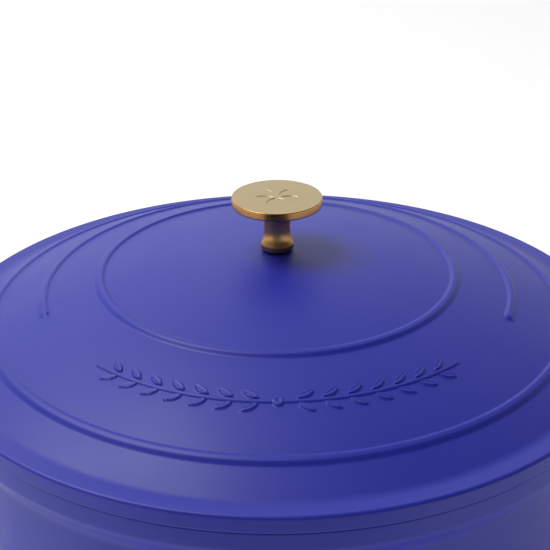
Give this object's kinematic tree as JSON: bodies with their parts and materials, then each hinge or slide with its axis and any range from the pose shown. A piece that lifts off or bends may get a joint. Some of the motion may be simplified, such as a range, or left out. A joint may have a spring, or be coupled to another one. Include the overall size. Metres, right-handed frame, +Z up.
{
  "type": "dutch oven",
  "caption": "Round enamelled cast iron dutch oven with two loop handles and a domed lid with raised rings, a leaf sprig and a metal mushroom knob.",
  "frame": {"origin": "centre of the foot ring, on the table", "axes": "+Z up through the knob, +X through one loop handle, -Y towards the leaf sprig at the front of the lid"},
  "size_m": [0.3662, 0.2988, 0.183],
  "materials": {
    "pot_enamel": "satin blue enamel outside, matte black enamel inside",
    "lid_enamel": "satin blue enamel outside, matte black enamel inside",
    "knob_turned": "polished, turned",
    "knob_brushed": "satin, fine brushed",
    "gasket_rubber": "matte",
    "washer_steel": "plain stainless",
    "screw_steel": "plain stainless"
  },
  "bodies": {
    "pot": {"pot_body": "pot_enamel"},
    "lid": {"lid": "lid_enamel", "knob_gasket": "gasket_rubber", "knob_stem": "knob_turned", "knob_disc": "knob_brushed", "flat_washer": "washer_steel", "lock_washer": "washer_steel", "knob_screw": "screw_steel"}
  },
  "joints": [
    {"name": "lid_lift", "type": "slide", "parent": "pot", "child": "lid", "axis": [0, 0, 1], "range_m": [0, 0.2]}
  ]
}
